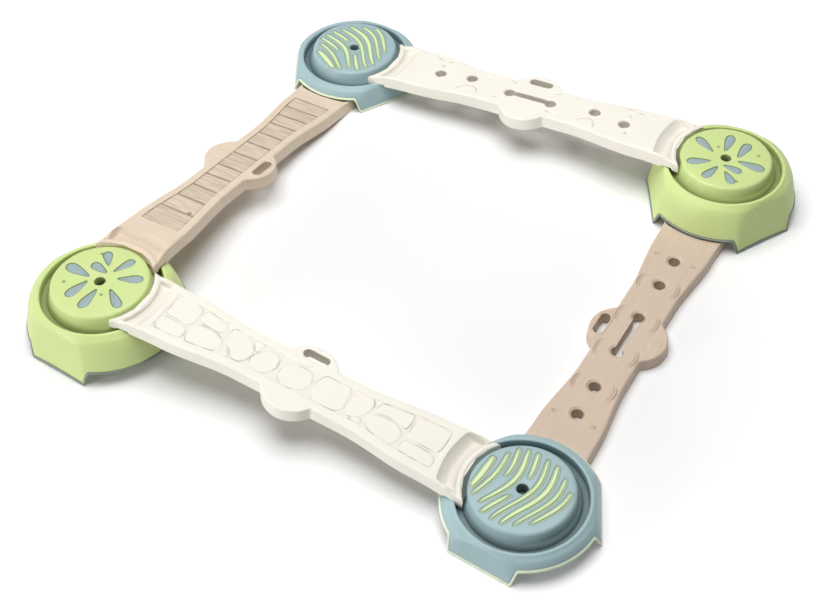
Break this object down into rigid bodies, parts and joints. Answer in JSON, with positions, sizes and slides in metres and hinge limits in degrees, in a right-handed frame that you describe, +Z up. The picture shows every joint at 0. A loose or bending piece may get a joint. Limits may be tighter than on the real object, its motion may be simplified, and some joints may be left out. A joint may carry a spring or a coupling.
{
  "type": "play obstacle course",
  "caption": "Toddler stepping course: round grip-topped hubs, tall and low, joined into a square by waisted walkway bridges, which hook on a hub's rim or slide under its arch.",
  "frame": {"origin": "on the floor, at the middle of the square that the hub axes make", "axes": "+Z up, +X from the left hub to the front hub, +Y from the left hub to the back hub"},
  "size_m": [1.2434, 1.2228, 0.1282],
  "materials": {
    "green_plastic": "matt, lightly textured moulded plastic",
    "blue_plastic": "matt, lightly textured moulded plastic",
    "grey_blue_grip": "soft matt grip rubber",
    "lime_grip": "soft matt grip rubber",
    "ivory_plastic": "matt moulded plastic with a stone or wood relief",
    "beige_plastic": "matt moulded plastic with a wood relief",
    "dark_plastic": "plain moulded plastic",
    "dark_rubber": "plain rubber"
  },
  "bodies": {
    "left_hub": {"left_hub_shell": "green_plastic", "left_hub_grip_insert": "grey_blue_grip", "left_hub_retaining_ring": "dark_plastic", "left_hub_foot_rim": "grey_blue_grip"},
    "front_bridge": {"front_bridge_deck": "ivory_plastic", "front_bridge_start_pad": "dark_rubber", "front_bridge_end_pad": "dark_rubber"},
    "left_arm": {"left_bridge_deck": "beige_plastic", "left_bridge_start_pad": "dark_rubber", "left_bridge_end_pad": "dark_rubber", "back_hub_shell": "blue_plastic", "back_hub_grip_insert": "lime_grip", "back_hub_retaining_ring": "dark_plastic", "back_hub_foot_rim": "lime_grip"},
    "back_bridge": {"back_bridge_deck": "ivory_plastic", "back_bridge_start_pad": "dark_rubber", "back_bridge_end_pad": "dark_rubber"},
    "right_arm": {"front_hub_shell": "blue_plastic", "front_hub_grip_insert": "lime_grip", "front_hub_retaining_ring": "dark_plastic", "front_hub_foot_rim": "lime_grip", "right_bridge_deck": "beige_plastic", "right_bridge_start_pad": "dark_rubber", "right_bridge_end_pad": "dark_rubber", "right_hub_shell": "green_plastic", "right_hub_grip_insert": "grey_blue_grip", "right_hub_retaining_ring": "dark_plastic", "right_hub_foot_rim": "grey_blue_grip"}
  },
  "joints": [
    {"name": "front_bridge_lift", "type": "slide", "parent": "left_hub", "child": "front_bridge", "axis": [0, 0, 1], "range_m": [0, 0.06]},
    {"name": "right_arm_swing", "type": "hinge", "parent": "left_hub", "child": "right_arm", "pos_m": [0.46, -0.46, 0], "axis": [0, 0, 1], "range_deg": [-3, 30]},
    {"name": "left_arm_swing", "type": "hinge", "parent": "left_hub", "child": "left_arm", "pos_m": [-0.46, -0.46, 0], "axis": [0, 0, 1], "range_deg": [-3, 30]},
    {"name": "back_bridge_swing", "type": "hinge", "parent": "left_arm", "child": "back_bridge", "pos_m": [-0.46, 0.46, 0], "axis": [0, 0, 1], "range_deg": [-30, 3]}
  ],
  "couplings": [
    {"joint": "left_arm_swing", "follows": "right_arm_swing", "ratio": 1},
    {"joint": "back_bridge_swing", "follows": "right_arm_swing", "ratio": -1}
  ]
}
